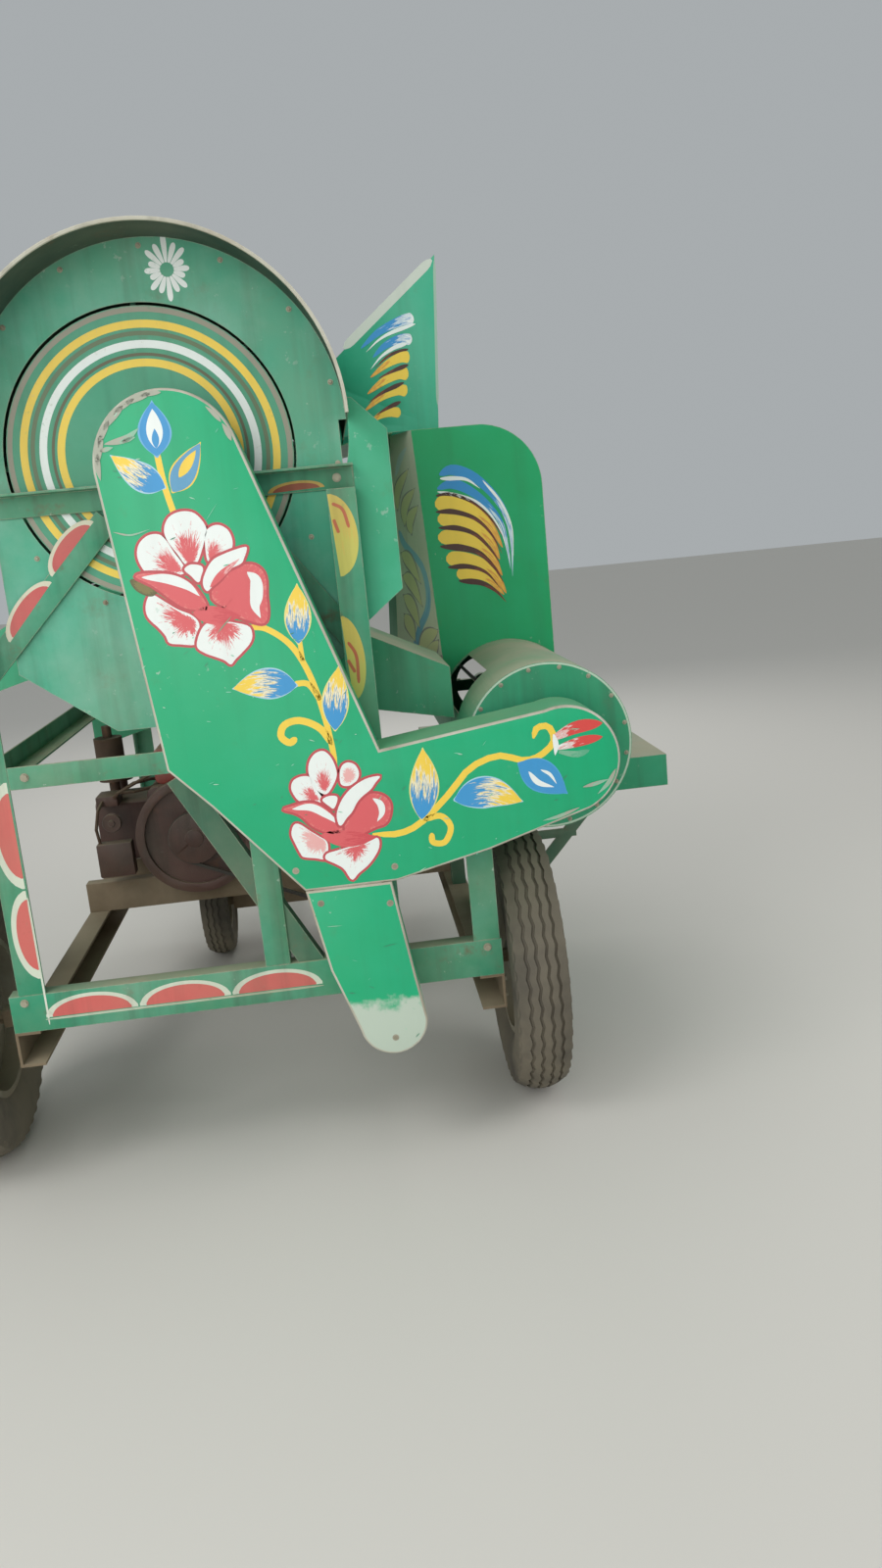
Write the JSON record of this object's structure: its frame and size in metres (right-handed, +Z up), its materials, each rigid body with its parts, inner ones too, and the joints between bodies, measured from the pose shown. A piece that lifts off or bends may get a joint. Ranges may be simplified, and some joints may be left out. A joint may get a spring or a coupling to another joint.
{
  "type": "power rice thresher",
  "caption": "Towed rice thresher: belt-driven toothed drum in a sheet housing, fan, feed table with hood, chutes, engine, side platform and four rubber-tyred wheels.",
  "frame": {"origin": "centre of the bounding box on the ground", "axes": "+Z up; +Y along the drum from the belt guard to the drawbar; +X towards the feed side"},
  "size_m": [2.372, 3.2599, 2.39],
  "materials": {
    "guard_paint": "glossy emerald sheet paint, hand painted flowers, worn edges",
    "housing_paint": "green enamel on sheet, dusty, worn at the rim",
    "hood_paint": "green enamel on sheet, painted fruit bunches, dusty",
    "frame_paint": "green enamel on angle steel, chipped and dusty",
    "chassis_paint": "old brown primer and mud on rolled steel",
    "deck_plate": "pale worn green paint on plate",
    "bare_steel": "oiled bright steel, light rust",
    "drum_paint": "green enamel with painted rings",
    "belt_rubber": "matt black rubber",
    "engine_paint": "red oxide paint on cast iron, oily",
    "tank_paint": "red enamel, dusty",
    "exhaust_steel": "burnt rusty steel",
    "wheel_paint": "dull cream paint on pressed steel",
    "tyre_rubber": "dusty worn rubber"
  },
  "bodies": {
    "frame": {"belt_guard": "guard_paint", "guard_tail": "guard_paint", "drum_cover": "housing_paint", "near_end_plate": "housing_paint", "far_end_plate": "housing_paint", "link_plate": "housing_paint", "grain_trough": "housing_paint", "fan_casing": "hood_paint", "air_duct": "hood_paint", "feed_box": "hood_paint", "feed_floor": "hood_paint", "feed_hood": "hood_paint", "straw_hood": "hood_paint", "chaff_chute": "hood_paint", "grain_spout": "hood_paint", "frame_posts": "frame_paint", "frame_beams": "frame_paint", "frame_braces": "frame_paint", "longerons": "frame_paint", "side_rails": "chassis_paint", "cross_members": "chassis_paint", "axle_sleeves": "chassis_paint", "near_axle": "chassis_paint", "turntable_plate": "chassis_paint", "platform_struts": "chassis_paint", "platform_deck": "deck_plate", "bearing_blocks": "bare_steel", "concave": "bare_steel", "drive_belts": "belt_rubber", "engine_block": "engine_paint", "engine_tank": "tank_paint", "engine_exhaust": "exhaust_steel"},
    "steer": {"steered_axle": "chassis_paint"},
    "hitch": {"drawbar": "chassis_paint"},
    "drum": {"drum_rotor": "drum_paint", "drum_shaft": "bare_steel"},
    "fan": {"fan_rotor": "bare_steel"},
    "counter": {"countershaft": "bare_steel"},
    "input": {"input_shaft": "bare_steel"},
    "crank": {"engine_flywheel": "engine_paint"},
    "wheel_near_left": {"rim_near_left": "wheel_paint", "tyre_near_left": "tyre_rubber"},
    "wheel_near_right": {"rim_near_right": "wheel_paint", "tyre_near_right": "tyre_rubber"},
    "wheel_far_left": {"rim_far_left": "wheel_paint", "tyre_far_left": "tyre_rubber"},
    "wheel_far_right": {"rim_far_right": "wheel_paint", "tyre_far_right": "tyre_rubber"}
  },
  "joints": [
    {"name": "steer_turn", "type": "hinge", "parent": "frame", "child": "steer", "pos_m": [-0.15, 0.24, 0.392], "axis": [0, 0, 1], "range_deg": [-35, 35]},
    {"name": "drawbar_lift", "type": "hinge", "parent": "steer", "child": "hitch", "pos_m": [-0.15, 0.43, 0.21], "axis": [1, 0, 0], "range_deg": [0, 35]},
    {"name": "drum_spin", "type": "hinge", "parent": "frame", "child": "drum", "pos_m": [-0.246, -1.48, 1.844], "axis": [0, 1, 0], "continuous": true},
    {"name": "fan_spin", "type": "hinge", "parent": "frame", "child": "fan", "pos_m": [0.667, -1.48, 1.028], "axis": [0, 1, 0], "continuous": true},
    {"name": "counter_spin", "type": "hinge", "parent": "frame", "child": "counter", "pos_m": [0.04, -1.48, 0.985], "axis": [0, 1, 0], "continuous": true},
    {"name": "input_spin", "type": "hinge", "parent": "frame", "child": "input", "pos_m": [0.18, -1.48, 0.395], "axis": [0, 1, 0], "continuous": true},
    {"name": "crank_spin", "type": "hinge", "parent": "frame", "child": "crank", "pos_m": [-0.39, -0.505, 0.69], "axis": [0, 1, 0], "continuous": true},
    {"name": "wheel_near_left_spin", "type": "hinge", "parent": "frame", "child": "wheel_near_left", "pos_m": [-0.961, -1.2, 0.385], "axis": [1, 0, 0], "continuous": true},
    {"name": "wheel_near_right_spin", "type": "hinge", "parent": "frame", "child": "wheel_near_right", "pos_m": [0.581, -1.2, 0.385], "axis": [1, 0, 0], "continuous": true},
    {"name": "wheel_far_left_spin", "type": "hinge", "parent": "steer", "child": "wheel_far_left", "pos_m": [-0.45, 0.24, 0.21], "axis": [1, 0, 0], "continuous": true},
    {"name": "wheel_far_right_spin", "type": "hinge", "parent": "steer", "child": "wheel_far_right", "pos_m": [0.15, 0.24, 0.21], "axis": [1, 0, 0], "continuous": true}
  ],
  "couplings": [
    {"joint": "counter_spin", "follows": "drum_spin", "ratio": 1.1783},
    {"joint": "fan_spin", "follows": "drum_spin", "ratio": 1.5163},
    {"joint": "input_spin", "follows": "drum_spin", "ratio": 2.0178},
    {"joint": "crank_spin", "follows": "drum_spin", "ratio": 1.1597}
  ]
}
